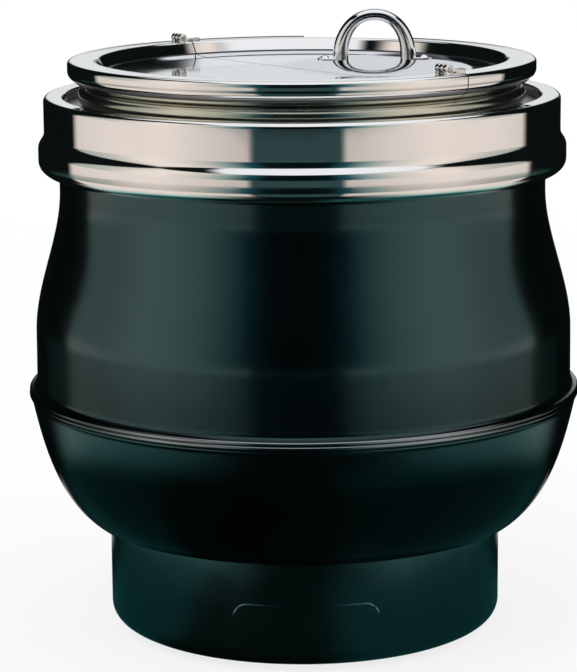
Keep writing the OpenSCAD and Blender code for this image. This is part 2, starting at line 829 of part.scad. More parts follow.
base_drum();
base_plate();
base_plate_screws();
feet();
drum_screws();
lower_bowl();
upper_shell();
collar();
water_bath();
tie_studs();
tie_nuts();
heating_element();
element_plate();
element_studs();
element_nuts();
thermostat();
thermostat_nut();
thermostat_bulb();
bulb_clip();
overheat_cutout();
terminal_block();
terminal_screws();
earth_stud();
lamp_lens();
lamp_holder();
cord_gland();
gland_nut();
soup_pot();
lid_fixed_half();
hinge_pins();
lid_flap();
lid_handle();
handle_rivets();
thermostat_knob();
spindle();
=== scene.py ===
import math

import bmesh
import bpy
from mathutils import Matrix, Vector


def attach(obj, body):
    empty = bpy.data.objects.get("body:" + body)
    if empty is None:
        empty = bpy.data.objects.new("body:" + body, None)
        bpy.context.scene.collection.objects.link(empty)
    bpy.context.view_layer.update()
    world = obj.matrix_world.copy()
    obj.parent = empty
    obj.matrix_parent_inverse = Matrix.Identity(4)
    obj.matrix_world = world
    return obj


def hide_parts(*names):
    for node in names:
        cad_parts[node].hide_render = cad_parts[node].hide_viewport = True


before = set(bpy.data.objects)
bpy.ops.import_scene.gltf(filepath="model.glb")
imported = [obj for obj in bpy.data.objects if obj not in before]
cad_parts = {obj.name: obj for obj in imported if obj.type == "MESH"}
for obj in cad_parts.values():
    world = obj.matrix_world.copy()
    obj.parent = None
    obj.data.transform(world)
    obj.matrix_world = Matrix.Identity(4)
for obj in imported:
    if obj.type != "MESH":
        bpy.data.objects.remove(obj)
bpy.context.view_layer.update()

MM = 0.001
TURN = 288  # steps in a full turn
Y, Z = 1, 2


# ---- camera ----

def make_camera():
    """The photograph's camera: in front, tilted down, with the frame's height as its sensor."""
    distance, tilt, roll = 1702.13, 0.200330, -0.0077
    aim_x, aim_z = -9.25, 178.85
    focal_px, frame_px, sensor = 2742.59, 672, 36
    place = Vector((aim_x, -distance * math.cos(tilt), aim_z + distance * math.sin(tilt)))
    ahead = Vector((0, math.cos(tilt), -math.sin(tilt)))
    right, up = Vector((1, 0, 0)), Vector((0, math.sin(tilt), math.cos(tilt)))
    right, up = (right * math.cos(roll) + up * math.sin(roll),
                 up * math.cos(roll) - right * math.sin(roll))
    data = bpy.data.cameras.new("photo_camera")
    data.sensor_width = sensor
    data.lens = focal_px * sensor / frame_px
    data.clip_end = 50
    camera = bpy.data.objects.new("photo_camera", data)
    bpy.context.scene.collection.objects.link(camera)
    turn = Matrix((right, up, -ahead)).transposed().to_4x4()
    camera.matrix_world = Matrix.Translation(place * MM) @ turn
    bpy.context.scene.camera = camera


make_camera()


# ---- sizes, in millimetres, as the source has them ----

drum_r, drum_z, drum_top = 121.5, 3.0, 70.0
bowl_r, shoulder_z = 168.8, 146.4
bead_r, belly_r, neck_r, shell_top = 170.0, 165.0, 148.5, 321.6
shell_t, pot_t, lid_t = 1.2, 1.0, 1.0
flange_top, collar_top = 322.8, 330.5
collar_z, collar_foot_r, collar_r = collar_top - 47.2, 161, 157.3
roll_c, roll_z, roll_r, pot_floor = 129.9, 330.7, 6.4, 105.1
lid_r, lid_z, lid_top, plate_z = 142.4, 337.4, 352.0, 343.0
rim_inner_r, relief_r, relief = 127.0, 128.5, (60.0, 89.0)
flap_angle, slit, slit_w, hinge_n = math.radians(37.9), 9.0, 0.8, 1.5
knuckle_r, side_gap = 2.6, 0.3
screw_r = 107.3
hinge_z = lid_top + knuckle_r + side_gap
handle_x, handle_y, handle_w, handle_h = 46.6, 72.0, 53.0, 32.0


# ---- outlines ----

def arc(cx, cz, r, a0, a1, n=10):
    return [(cx + r * math.cos(math.radians(a0 + (a1 - a0) * i / n)),
             cz + r * math.sin(math.radians(a0 + (a1 - a0) * i / n))) for i in range(n + 1)]


def curve(p0, p1, p2, p3, n=28):
    out = []
    for i in range(n + 1):
        t = i / n
        s = 1 - t
        out.append(tuple(s ** 3 * a + 3 * s * s * t * b + 3 * s * t * t * c + t ** 3 * d
                         for a, b, c, d in zip(p0, p1, p2, p3)))
    return out


def beside(path, t):
    """The path moved t to its left."""
    normals = []
    for (x0, z0), (x1, z1) in zip(path, path[1:]):
        length = math.hypot(x1 - x0, z1 - z0)
        normals.append((-(z1 - z0) / length, (x1 - x0) / length))
    out = []
    for i, (x, z) in enumerate(path):
        a, b = normals[max(i - 1, 0)], normals[min(i, len(normals) - 1)]
        k = t / (1 + a[0] * b[0] + a[1] * b[1])
        out.append((x + k * (a[0] + b[0]), z + k * (a[1] + b[1])))
    return out


def sheet(path, t):
    """A closed outline: the path is one face, and the metal lies t to its left."""
    return path + beside(path, t)[::-1]


# ---- meshes ----

def make_object(name, bm, mat, sharp=32):
    mesh = bpy.data.meshes.new(name)
    bm.to_mesh(mesh)
    bm.free()
    mesh.shade_smooth()
    mesh.set_sharp_from_angle(angle=math.radians(sharp))
    obj = bpy.data.objects.new(name, mesh)
    bpy.context.scene.collection.objects.link(obj)
    mesh.materials.append(mat)
    return obj


def area2(profile):
    return sum(a[0] * b[1] - b[0] * a[1] for a, b in zip(profile, profile[1:] + profile[:1]))


def turn_profile(bm, profile, a0=0.0, a1=360.0, steps=TURN):
    """Adds a closed outline turned about Z from a0 to a1 degrees."""
    on_axis = 1e-6
    if area2(profile) < 0:
        profile = profile[::-1]
    whole = abs(a1 - a0 - 360) < 1e-6
    rings = []
    for i in range(steps if whole else steps + 1):
        a = math.radians(a0 + (a1 - a0) * i / steps)
        c, s = math.cos(a) * MM, math.sin(a) * MM
        rings.append([bm.verts.new((r * c, r * s, z * MM)) for r, z in profile])
    n = len(profile)
    for i in range(steps):
        one, two = rings[i], rings[(i + 1) % len(rings)]
        for j in range(n):
            k = (j + 1) % n
            if profile[j][0] < on_axis and profile[k][0] < on_axis:
                continue
            bm.faces.new((one[j], two[j], two[k], one[k]))


def weld(bm):
    bmesh.ops.remove_doubles(bm, verts=bm.verts, dist=2e-6)


def join(bm, other):
    """Moves the other mesh into this one."""
    mesh = bpy.data.meshes.new("joined")
    other.to_mesh(mesh)
    other.free()
    bm.from_mesh(mesh)
    bpy.data.meshes.remove(mesh)


def turned(name, profile, mat):
    bm = bmesh.new()
    turn_profile(bm, profile)
    weld(bm)
    return make_object(name, bm, mat)


def stand_for(obj, node, body):
    """The piece takes the place of a node's solids."""
    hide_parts(node)
    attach(obj, body)


# ---- materials ----

class Net:
    """Short hand for the node tree of a material or a world."""

    def __init__(self, owner):
        owner.use_nodes = True
        self.tree = owner.node_tree
        self.tree.nodes.clear()

    def add(self, kind, inputs=None, **props):
        node = self.tree.nodes.new(kind)
        for key, value in props.items():
            setattr(node, key, value)
        for key, value in (inputs or {}).items():
            if isinstance(value, bpy.types.NodeSocket):
                self.tree.links.new(value, node.inputs[key])
            else:
                node.inputs[key].default_value = value
        return node

    def math(self, op, a, b=0.0, c=0.0):
        return self.add("ShaderNodeMath", {0: a, 1: b, 2: c}, operation=op).outputs[0]

    def vector(self, op, a, b=(0, 0, 0), out="Vector"):
        return self.add("ShaderNodeVectorMath", {0: a, 1: b}, operation=op).outputs[out]

    def split(self, vector):
        return self.add("ShaderNodeSeparateXYZ", {0: vector}).outputs

    def step(self, value, lo, hi, to_lo=0.0, to_hi=1.0):
        return self.add(
            "ShaderNodeMapRange",
            {"Value": value, "From Min": lo, "From Max": hi, "To Min": to_lo, "To Max": to_hi},
            interpolation_type="SMOOTHSTEP").outputs["Result"]

    def mix(self, factor, a, b):
        """Blends two colours, each a socket or three numbers."""
        a, b = (c if isinstance(c, bpy.types.NodeSocket) else (*c, 1) for c in (a, b))
        return self.add("ShaderNodeMix", {0: factor, 6: a, 7: b}, data_type="RGBA").outputs[2]

    def ramp(self, value, stops):
        node = self.add("ShaderNodeValToRGB", {"Fac": value})
        elements = node.color_ramp.elements
        while len(elements) > 1:
            elements.remove(elements[-1])
        elements[0].position, elements[0].color = stops[0][0], (*stops[0][1], 1)
        for place, colour in stops[1:]:
            elements.new(place).color = (*colour, 1)
        return node.outputs["Color"]

    def noise(self, vector, scale, detail=2.0, rough=0.5):
        return self.add("ShaderNodeTexNoise", {
            "Vector": vector, "Scale": scale, "Detail": detail, "Roughness": rough}).outputs["Fac"]


def leaning(net, place, lean):
    """A plate's normals, leaned to the front by so many degrees in an oval round the handle."""
    oval_x, oval_y, half_x, half_y = 0.0466, 0.030, 0.062, 0.070
    oval = net.vector("ADD", place, (-oval_x, -oval_y, 0))
    oval = net.vector("MULTIPLY", oval, (1 / half_x, 1 / half_y, 0))
    near = net.step(net.vector("LENGTH", oval, out="Value"), 1.05, 0.80)
    tip = net.math("MULTIPLY", near, -math.tan(math.radians(lean)))
    tip = net.add("ShaderNodeVectorTransform",
                  {0: net.add("ShaderNodeCombineXYZ", {Y: tip}).outputs[0]},
                  vector_type="VECTOR", convert_from="OBJECT", convert_to="WORLD").outputs[0]
    flat = net.add("ShaderNodeNewGeometry").outputs["Normal"]
    return net.vector("NORMALIZE", net.vector("ADD", flat, tip))


def scratched(net, place):
    """Fine marks that run across Z, as 0 to 1."""
    stretched = net.add("ShaderNodeMapping", {
        "Vector": place, "Scale": (1, 1, 26), "Rotation": (0.3, 0.2, 0)}).outputs[0]
    return net.step(net.noise(stretched, 140, 6, 0.7), 0.60, 0.72)


def material(name, colour, metallic=0.0, rough=(0.3, 0.34), scale=60.0, stretch=(1, 1, 1),
             vary=0.0, bump=0.002, bump_scale=900.0, coat=0.0, ior=1.5, tint=None,
             scratches=0.0, fade=None, lean=0.0):
    """A surface whose roughness, colour and fine relief vary with place.

    bump is in millimetres. fade is (axis, start, end, IOR at the start), in metres along an axis
    of the object: past the end the IOR is the plain one. The fade paints shade where the IOR
    falls and a highlight where it rises.
    """
    mat = bpy.data.materials.new(name)
    net = Net(mat)
    link = net.tree.links.new
    place = net.add("ShaderNodeTexCoord").outputs["Object"]
    stretched = net.add("ShaderNodeMapping", {"Vector": place, "Scale": stretch}).outputs[0]
    surface = net.add("ShaderNodeBsdfPrincipled", {
        "Metallic": metallic, "IOR": ior, "Coat Weight": coat, "Coat Roughness": 0.08})
    if tint:
        surface.inputs["Specular Tint"].default_value = (*tint, 1)
    if fade:
        axis, start, end, start_ior = fade
        link(net.step(net.split(place)[axis], start, end, start_ior, ior), surface.inputs["IOR"])
    roughness = net.step(net.noise(stretched, scale, 4), 0.3, 0.7, *rough)
    if scratches:
        roughness = net.math("MULTIPLY_ADD", scratched(net, place), scratches, roughness)
    link(roughness, surface.inputs["Roughness"])
    low = tuple(c * (1 - vary) for c in colour)
    high = tuple(min(1, c * (1 + vary)) for c in colour)
    patches = net.step(net.noise(place, scale * 0.4, 5), 0.3, 0.7)
    link(net.mix(patches, low, high), surface.inputs["Base Color"])
    fine = net.noise(stretched, bump_scale, 3)
    fine = net.add("ShaderNodeBump", {"Height": fine, "Strength": 1.0, "Distance": bump * MM})
    if lean:
        link(leaning(net, place, lean), fine.inputs["Normal"])
    link(fine.outputs[0], surface.inputs["Normal"])
    net.add("ShaderNodeOutputMaterial", {"Surface": surface.outputs[0]})
    return mat


black, steel = (0.0004, 0.0012, 0.0011), (0.86, 0.855, 0.85)
gloss = {"rough": (0.15, 0.18), "vary": 0.3, "bump": 0.003, "bump_scale": 420,
         "tint": (0.46, 0.93, 1.0)}
# The bowl and the shell reflect less low down, where their IOR falls: painted shade.
bowl_paint_painted_shade = material("bowl_paint_painted_shade", (0.0004, 0.0016, 0.0012), ior=1.88,
                      fade=(Z, 0.112, 0.134, 1.42), **gloss)
shell_paint_painted_shade = material("shell_paint_painted_shade", black, ior=1.85, fade=(Z, 0.158, 0.190, 1.66), **gloss)
# A high IOR at the front of the bead paints a highlight there; towards the sides it fades to the
# shell's.
bead_paint_painted_highlight = material("bead_paint_painted_highlight", black, rough=(0.10, 0.13), vary=0.3, bump=0.003,
                      bump_scale=420, ior=3.3, tint=(0.86, 0.94, 1.0),
                      fade=(Y, -0.112, -0.152, 1.85))
base_paint = material("base_paint", (0.0008, 0.0034, 0.0028), rough=(0.16, 0.20), vary=0.2,
                      bump=0.003, bump_scale=420, ior=2.5, tint=(0.50, 0.93, 1.0))
chrome = material("polished_steel", steel, 1.0, (0.035, 0.07), vary=0.02,
                  bump=0.0006, bump_scale=160, scratches=0.06)
lid_chrome = material("lid_steel", steel, 1.0, (0.03, 0.065), vary=0.02,
                      bump=0.0006, bump_scale=140, scratches=0.07)
lid_plate = material("lid_plate_steel", (0.735, 0.75, 0.80), 1.0, (0.05, 0.09), vary=0.02,
                     bump=0.0005, bump_scale=120, scratches=0.05, lean=6.8)
# A dark ring at the lid plate's turned-up edge, as painted shade.
edge_ring_painted_shade = material("lid_edge_painted_shade", (0.06, 0.065, 0.065), 1.0, (0.25, 0.4), vary=0.2)
# Satin steel, darkened and tinted olive: painted shade and painted reflection where it shows
# between the lid and the collar.
pot_steel = material("pot_steel", (0.56, 0.57, 0.49), 1.0, (0.13, 0.19), stretch=(1, 1, 30),
                     vary=0.06, bump=0.0005, bump_scale=300)
bath_steel = material("bath_steel", (0.30, 0.31, 0.32), 1.0, (0.28, 0.42), vary=0.12)
plate_steel = material("plate_steel", (0.35, 0.36, 0.37), 1.0, (0.3, 0.45), vary=0.1)
zinc = material("zinc", (0.56, 0.57, 0.58), 1.0, (0.25, 0.4), vary=0.08)
element_steel = material("element_steel", (0.42, 0.40, 0.38), 1.0, (0.35, 0.5), vary=0.2)
rubber = material("foot_rubber", (0.02, 0.02, 0.02), rough=(0.55, 0.75), vary=0.2, bump=0.02)
black_plastic = material("gland_plastic", (0.022, 0.022, 0.022), rough=(0.4, 0.5), vary=0.15,
                         bump=0.01, bump_scale=1500)
ceramic = material("ceramic", (0.78, 0.75, 0.68), rough=(0.35, 0.55), vary=0.05, bump=0.01)
copper = material("copper", (0.72, 0.38, 0.24), 1.0, (0.25, 0.4), vary=0.15)
brass = material("contact_brass", (0.76, 0.58, 0.28), 1.0, (0.22, 0.35), vary=0.1)
lamp_red = material("lamp_red", (0.55, 0.03, 0.015), rough=(0.08, 0.16), vary=0.1, bump=0.004,
                    coat=0.4)
knob_plastic = material("knob_plastic", (0.02, 0.02, 0.02), rough=(0.34, 0.44), vary=0.15,
                        bump=0.012, bump_scale=1400)


# ---- turned pieces ----

bowl_path = (
    [(88.0, drum_top)]
    + curve((133.7, drum_top), (156.6, 86.58), (164.0, 124.63), (bowl_r, shoulder_z), 40)[:-1]
    + arc(bowl_r - 1.2, shoulder_z - 1.2, 1.2, 0, 90, 8)
    + [(167.0, shoulder_z + 0.1), (167.0, 149.0)])
# The bead is two narrow rolls, and above them the sheet steps in to the belly
low_roll, high_roll = (bead_r - 1.5, 147.9, 1.5), (bead_r - 1.8, 150.3, 1.6)
shell_path = (
    arc(*low_roll, -70, 58, 14)
    + arc(*high_roll, -30, 74, 14)
    + curve((bead_r - 2.2, 152.1), (bead_r - 4.6, 152.8), (belly_r, 153.4), (belly_r, 157), 12)
    + curve((164.8, 186), (164.8, 215.4), (neck_r, 243.6), (neck_r, 273), 48)
    + arc(neck_r - 3, shell_top - 3, 3, 0, 90, 6)
    + [(137.5, shell_top)])
collar_path = (
    curve((148.9, collar_z), (156, collar_z - 0.2), (collar_foot_r, collar_z + 3.2),
          (collar_foot_r, collar_z + 8.6), 20)
    + curve((collar_foot_r, collar_z + 15.6), (collar_foot_r, collar_z + 20.3),
            (collar_r, collar_z + 20.9), (collar_r, collar_z + 25.8), 24)
    + arc(154.3, collar_top - 3, 3, 0, 90, 14)
    + arc(147, collar_top - 1.6, 1.6, 90, 180, 8)
    + [(145.4, flange_top), (137.5, flange_top)])
pot_path = (
    [(0, pot_floor - 1)]
    + arc(108.5, pot_floor + 15, 16, -90, 0, 16)
    + arc(roll_c, roll_z, roll_r - 1, 180, -90, 36))

bowl = turned("bowl_skin", sheet(bowl_path, shell_t), bowl_paint_painted_shade)
stand_for(bowl, "lower_bowl", "kettle")
shell = turned("shell_skin", sheet(shell_path, shell_t), shell_paint_painted_shade)
# The bead's faces take the paint with the painted highlight.
shell.data.materials.append(bead_paint_painted_highlight)
for face in shell.data.polygons:
    if math.hypot(face.center.x, face.center.y) > (belly_r + 1.5) * MM:
        face.material_index = 1
stand_for(shell, "upper_shell", "kettle")
collar = turned("collar_skin", sheet(collar_path, shell_t), chrome)
stand_for(collar, "collar", "kettle")
pot = turned("pot_skin", sheet(pot_path, pot_t), pot_steel)
stand_for(pot, "soup_pot", "pot")


# ---- small pieces of the base ----

def plate_screws():
    """The base plate's screws and nuts, with heads nearly flush with the drum."""
    bore, shank, head = 0.8, 2.0, 3.4
    nut_r, nut_z, nut_h = 7.0 / 2 / math.cos(math.pi / 6), 5.4, 3.2
    nut_top = nut_z + nut_h
    screw = [(0, drum_z - 0.05), (bore, drum_z - 0.05), (bore, drum_z - 0.3),
             (2.6, drum_z - 0.3), (head, drum_z), (shank, drum_z), (shank, nut_top + 3.2),
             (0, nut_top + 3.2)]
    nut = [(shank, nut_z), (nut_r, nut_z), (nut_r, nut_top), (shank, nut_top)]
    bm = bmesh.new()
    for k in range(4):
        a = math.radians(90 * k)
        place = Matrix.Translation(Vector((screw_r * math.cos(a), screw_r * math.sin(a), 0)) * MM)
        one = bmesh.new()
        turn_profile(one, screw, steps=48)
        turn_profile(one, nut, steps=6)
        bmesh.ops.transform(one, matrix=place, verts=one.verts)
        join(bm, one)
    weld(bm)
    return bm


def spread_out(n):
    """Places from -1 to 1 that lie even in the middle and closer at both ends."""
    even = 0.89
    near = [-1, -0.985, -0.96, -0.93, -even]
    middle = [-even + 2 * even * (k + 1) / n for k in range(n - 1)]
    return near + middle + [-v for v in near[::-1]]


def bare_plate():
    """A low plate with rounded ends, where the name on the base is left out."""
    half_w, z0, z1, corner, proud, soft_edge = 45.0, 18.0, 42.0, 10.0, 0.4, 0.9
    front_r, back_r = drum_r - 0.1, drum_r - 0.5
    half_h, mid_z = (z1 - z0) / 2, (z1 + z0) / 2

    def height(x, z):
        qx, qz = abs(x) - half_w + corner, abs(z) - half_h + corner
        inside = corner - math.hypot(max(qx, 0), max(qz, 0)) - min(max(qx, qz), 0)
        t = min(max(inside / soft_edge, 0), 1)
        return proud * math.sqrt(1 - (1 - t) ** 2)

    bm = bmesh.new()
    edges = []
    for back in (False, True):
        grid = []
        for v in spread_out(14):
            z = v * half_h
            drop = max(abs(z) - half_h + corner, 0)
            reach = half_w - corner + math.sqrt(max(corner ** 2 - drop ** 2, 0.01))
            row = []
            for u in spread_out(40):
                x = u * reach
                r = back_r if back else front_r + height(x, z)
                a = x / drum_r
                place = Vector((r * math.sin(a), -r * math.cos(a), mid_z + z))
                row.append(bm.verts.new(place * MM))
            grid.append(row)
        for one, two in zip(grid, grid[1:]):
            for k in range(len(one) - 1):
                face = (one[k], one[k + 1], two[k + 1], two[k])
                bm.faces.new(face[::-1] if back else face)
        edges.append(grid[0] + [row[-1] for row in grid[1:]] + grid[-1][-2::-1]
                     + [row[0] for row in grid[-2:0:-1]])
    front, back = edges
    n = len(front)
    for k in range(n):
        bm.faces.new((front[(k + 1) % n], front[k], back[k], back[(k + 1) % n]))
    bmesh.ops.recalc_face_normals(bm, faces=bm.faces)
    return bm


screws = make_object("plate_screw_set", plate_screws(), zinc)
stand_for(screws, "base_plate_screws", "kettle")

plate = make_object("base_front_plate", bare_plate(), base_paint)
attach(plate, "kettle")


# ---- lid ----

# The plate turns up to its edge, and the rim's wall leans out from there
flare_r, flare_w, flare_h, flare_n = 108.9, 12.0, 1.2, 12
edge_r, edge_n, wall_lean, rim_r = 1.4, 8, 27, 2.5
turn_up = math.degrees(math.atan(2 * flare_h / flare_w))
edge_c = (flare_r + flare_w - edge_r * math.sin(math.radians(turn_up)),
          plate_z + flare_h + edge_r * math.cos(math.radians(turn_up)))
plate_edge = [(flare_r + flare_w * k / flare_n, plate_z + flare_h * (k / flare_n) ** 2)
              for k in range(flare_n + 1)]
rim = (plate_edge + arc(*edge_c, edge_r, turn_up - 90, -wall_lean, edge_n)[1:]
       + arc(rim_inner_r, lid_top - rim_r, rim_r, 180 - wall_lean, 90, 10))
rim_out = (arc(lid_r - rim_r, lid_top - rim_r, rim_r, 90, 0, 10)
           + curve((lid_r, lid_z + 8), (lid_r - 0.2, lid_z + 4.8), (lid_r - 3.6, lid_z + 2.0),
                   (lid_r - 8.5, lid_z), 20))
foot_r = 123.6
lip = arc(foot_r, lid_z - 1.6, 1.6, 90, 180, 6) + [(foot_r - 1.6, lid_z - 6)]
lid_path = [(0, plate_z)] + rim + [(relief_r, lid_top)] + rim_out + lip
lid_cut_path = [(0, plate_z)] + rim + [(relief_r, lid_top), (relief_r, lid_z)] + lip
rim_solid = ([(foot_r, plate_z + 3.4)] + rim[len(plate_edge) + edge_n:] + [(relief_r, lid_top)]
             + rim_out + [(foot_r, lid_z)])
across = Vector((math.cos(flap_angle), math.sin(flap_angle), 0))


def halve(bm, n, keep_far, fill=False):
    """Keeps one side of the plane n millimetres past the axis, and can keep only the cut's face."""
    got = bmesh.ops.bisect_plane(
        bm, geom=bm.verts[:] + bm.edges[:] + bm.faces[:], plane_co=across * n * MM,
        plane_no=across, clear_outer=not keep_far, clear_inner=keep_far, dist=1e-7)
    if fill:
        edges = [e for e in got["geom_cut"] if isinstance(e, bmesh.types.BMEdge)]
        old = set(bm.faces)
        bmesh.ops.edgenet_fill(bm, edges=edges)
        bmesh.ops.delete(bm, geom=[f for f in bm.faces if f in old], context="FACES")


def lid_half(keep_far):
    """One half of the lid's sheet, with walls that close the hollow rim at the slit."""
    bm = bmesh.new()
    if keep_far:
        turn_profile(bm, sheet(lid_path, -lid_t), relief[1], relief[0] + 360, 260)
        turn_profile(bm, sheet(lid_cut_path, -lid_t), relief[0], relief[1], 24)
        for a in relief:
            c, s = math.cos(math.radians(a)) * MM, math.sin(math.radians(a)) * MM
            wall = [(relief_r, lid_top)] + rim_out + [(relief_r, lid_z)]
            bm.faces.new([bm.verts.new((r * c, r * s, z * MM)) for r, z in wall])
    else:
        turn_profile(bm, sheet(lid_path, -lid_t))
    weld(bm)
    edge = slit + slit_w / 2 if keep_far else slit - slit_w / 2
    halve(bm, edge, keep_far)
    walls = bmesh.new()
    turn_profile(walls, rim_solid)
    halve(walls, edge, keep_far, True)
    join(bm, walls)
    weld(bm)
    return bm


def box(bm, xs, ys, zs, matrix, bevel=0.0):
    """A box between two places on each local axis."""
    part = bmesh.ops.create_cube(bm, size=1.0)["verts"]
    middle = Vector((xs[0] + xs[1], ys[0] + ys[1], zs[0] + zs[1])) / 2 * MM
    size = Matrix.Diagonal(((xs[1] - xs[0]) * MM, (ys[1] - ys[0]) * MM, (zs[1] - zs[0]) * MM, 1))
    bmesh.ops.transform(bm, verts=part, matrix=matrix @ Matrix.Translation(middle) @ size)
    if bevel:
        edges = [e for e in bm.edges if e.verts[0] in part]
        bmesh.ops.bevel(bm, geom=edges, offset=bevel * MM, segments=3, affect="EDGES", profile=0.5)


def barrel(bm, span, r, matrix, steps=48):
    """A cylinder along the local X axis, with softened ends."""
    x0, x1 = span
    soft, half_soft = 0.25, 0.25 * 0.3
    prof = [(x0, 0), (x0, r - soft), (x0 + half_soft, r - half_soft), (x0 + soft, r),
            (x1 - soft, r), (x1 - half_soft, r - half_soft), (x1, r - soft), (x1, 0)]
    rings = []
    for i in range(steps):
        a = math.tau * i / steps
        c, s = math.cos(a), math.sin(a)
        rings.append([bm.verts.new(matrix @ Vector((x * MM, q * c * MM, q * s * MM)))
                      for x, q in prof])
    for i in range(steps):
        one, two = rings[i], rings[(i + 1) % steps]
        for j in range(len(prof) - 1):
            bm.faces.new((one[j], one[j + 1], two[j + 1], two[j]))


def hinge_frames():
    """Local frames at both ends of the hinge line, with +X outwards along it."""
    for side in (1, -1):
        turn = Matrix.Rotation(flap_angle, 4, "Z")
        if side < 0:
            turn = turn @ Matrix.Scale(-1, 4, Vector((0, 1, 0)))
        yield (turn @ Matrix.Translation(Vector((hinge_n, 0, hinge_z)) * MM)
               @ Matrix.Rotation(math.pi / 2, 4, "Z"))


def plate_faces(obj):
    """Gives the flat plate inside the rim its duller finish, and paints a dark ring of painted
    shade where it turns up at its edge.
    """
    plate_r, crease_r = 119.5, 123.1
    obj.data.materials.append(lid_plate)
    obj.data.materials.append(edge_ring_painted_shade)
    for face in obj.data.polygons:
        x, y, z = face.center / MM
        if math.hypot(x, y) < plate_r and z < plate_z + 1.5:
            face.material_index = 1
        elif plate_r < math.hypot(x, y) < crease_r and plate_z + 0.8 < z < plate_z + 2.2:
            face.material_index = 2
    return obj


lug_spans, knuckle = [(124.5, 127.5), (131.5, 134.5)], (127.8, 131.2)
lug_foot = -knuckle_r - side_gap - 0.5
fold = Matrix.Rotation(flap_angle, 4, "Z")
fold_y, fold_z = (-(flare_r - 1), flare_r - 1), (plate_z - 6, plate_z - 0.3)

bm = lid_half(False)
box(bm, (slit - slit_w / 2 - lid_t, slit - slit_w / 2), fold_y, fold_z, fold)
for at in hinge_frames():
    for span in lug_spans:
        barrel(bm, span, knuckle_r, at)
        box(bm, span, (-knuckle_r + 0.4, knuckle_r - 0.4), (lug_foot, 0), at, 0.3)
weld(bm)
lid_fixed = plate_faces(make_object("lid_fixed_skin", bm, lid_chrome))
stand_for(lid_fixed, "lid_fixed_half", "lid")

bm = lid_half(True)
box(bm, (slit + slit_w / 2, slit + slit_w / 2 + lid_t), fold_y, fold_z, fold)
for at in hinge_frames():
    barrel(bm, knuckle, knuckle_r, at)
    box(bm, knuckle, (-15.5, 0), (-knuckle_r, -knuckle_r + 1.6), at, 0.4)
    box(bm, knuckle, (-15.5, -8.2), (lug_foot, -knuckle_r + 0.5), at)
weld(bm)
lid_flap = plate_faces(make_object("lid_flap_skin", bm, lid_chrome))
stand_for(lid_flap, "lid_flap", "flap")


# ---- lid handle ----

def bow(a, width, height, power):
    """A point at angle a of an arch between a half ellipse and a box."""
    c, s = math.cos(a), math.sin(a)
    return (math.copysign(width * abs(c) ** (2 / power), c), height * max(s, 0) ** (2 / power))


def handle_bow(bm):
    """The arch, of a section with soft corners."""
    half, inner = handle_w / 2, handle_w / 2 - 10
    along_n, ring_n, half_depth, power = 64, 32, 5.25, 2.3
    rings = []
    for i in range(along_n + 1):
        a = math.radians(180 - 180 * i / along_n)
        ox, oz = bow(a, half, handle_h, 2.1)
        ix, iz = bow(a, inner, handle_h - 7.3, 2.4)
        ring = []
        for k in range(ring_n):
            a = math.tau * k / ring_n
            c, s = math.cos(a), math.sin(a)
            u = math.copysign(abs(c) ** (2 / power), c)
            v = math.copysign(abs(s) ** (2 / power), s)
            x = (ox + ix) / 2 + u * (ox - ix) / 2
            z = (oz + iz) / 2 + u * (oz - iz) / 2
            place = Vector((handle_x + x, handle_y + v * half_depth, plate_z + z))
            ring.append(bm.verts.new(place * MM))
        rings.append(ring)
    for one, two in zip(rings, rings[1:]):
        for k in range(ring_n):
            bm.faces.new((one[k], one[(k + 1) % ring_n], two[(k + 1) % ring_n], two[k]))


def handle_foot(bm, side):
    """A flat foot with a round end, outside the arch on the left (-1) or right (1)."""
    half, foot_w, soft_z, foot_z = handle_w / 2, 4.6, 1.0, 1.4
    outline = []
    for k in range(24):
        a = math.radians(-90 + 180 * k / 23)
        outline.append((handle_x + side * (half + 5 + foot_w * math.cos(a)),
                        handle_y + foot_w * math.sin(a)))
    outline += [(handle_x + side * (half - 3), handle_y + foot_w),
                (handle_x + side * (half - 3), handle_y - foot_w)]
    cx = handle_x + side * (half + 1)
    low = [bm.verts.new(Vector((x, y, plate_z)) * MM) for x, y in outline]
    mid = [bm.verts.new(Vector((x, y, plate_z + soft_z)) * MM) for x, y in outline]
    top = [bm.verts.new(Vector((x + (cx - x) * 0.06, y + (handle_y - y) * 0.08,
                                plate_z + foot_z)) * MM) for x, y in outline]
    n = len(outline)
    for a, b in ((low, mid), (mid, top)):
        for k in range(n):
            bm.faces.new((a[k], a[(k + 1) % n], b[(k + 1) % n], b[k]))
    bm.faces.new(top)


bm = bmesh.new()
handle_bow(bm)
for side in (-1, 1):
    handle_foot(bm, side)
bmesh.ops.recalc_face_normals(bm, faces=bm.faces)
handle = make_object("handle_skin", bm, lid_chrome, 40)
stand_for(handle, "lid_handle", "flap")


# ---- nodes whose solids stay ----

for mat, names in (
        (base_paint, "base_drum"),
        (plate_steel, "base_plate element_plate"),
        (bath_steel, "water_bath"),
        (zinc, "drum_screws tie_studs tie_nuts element_studs element_nuts thermostat_nut"
               " bulb_clip spindle hinge_pins"),
        (rubber, "feet"),
        (element_steel, "heating_element"),
        (ceramic, "thermostat overheat_cutout terminal_block"),
        (copper, "thermostat_bulb"),
        (brass, "terminal_screws earth_stud"),
        (lamp_red, "lamp_lens"),
        (black_plastic, "lamp_holder cord_gland gland_nut"),
        (lid_chrome, "handle_rivets"),
        (knob_plastic, "thermostat_knob")):
    for name in names.split():
        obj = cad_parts[name]
        if not obj.material_slots:
            obj.data.materials.append(mat)
        for place in obj.material_slots:
            place.material = mat


# ---- world, floor and lamps ----

teal, dark, soft = (0.030, 0.064, 0.066), (0.003, 0.005, 0.005), (0.78, 0.80, 0.81)


def warm(level):
    return (0.92 * level, 0.82 * level, 0.75 * level)


def by_degrees(*stops):
    return [(degrees / 360, colour) for degrees, colour in stops]


def bearing_of(net, x, y):
    """The bearing in radians from -pi to pi, where 0 is the front and more is to the right."""
    return net.math("ARCTAN2", x, net.math("MULTIPLY", y, -1.0))


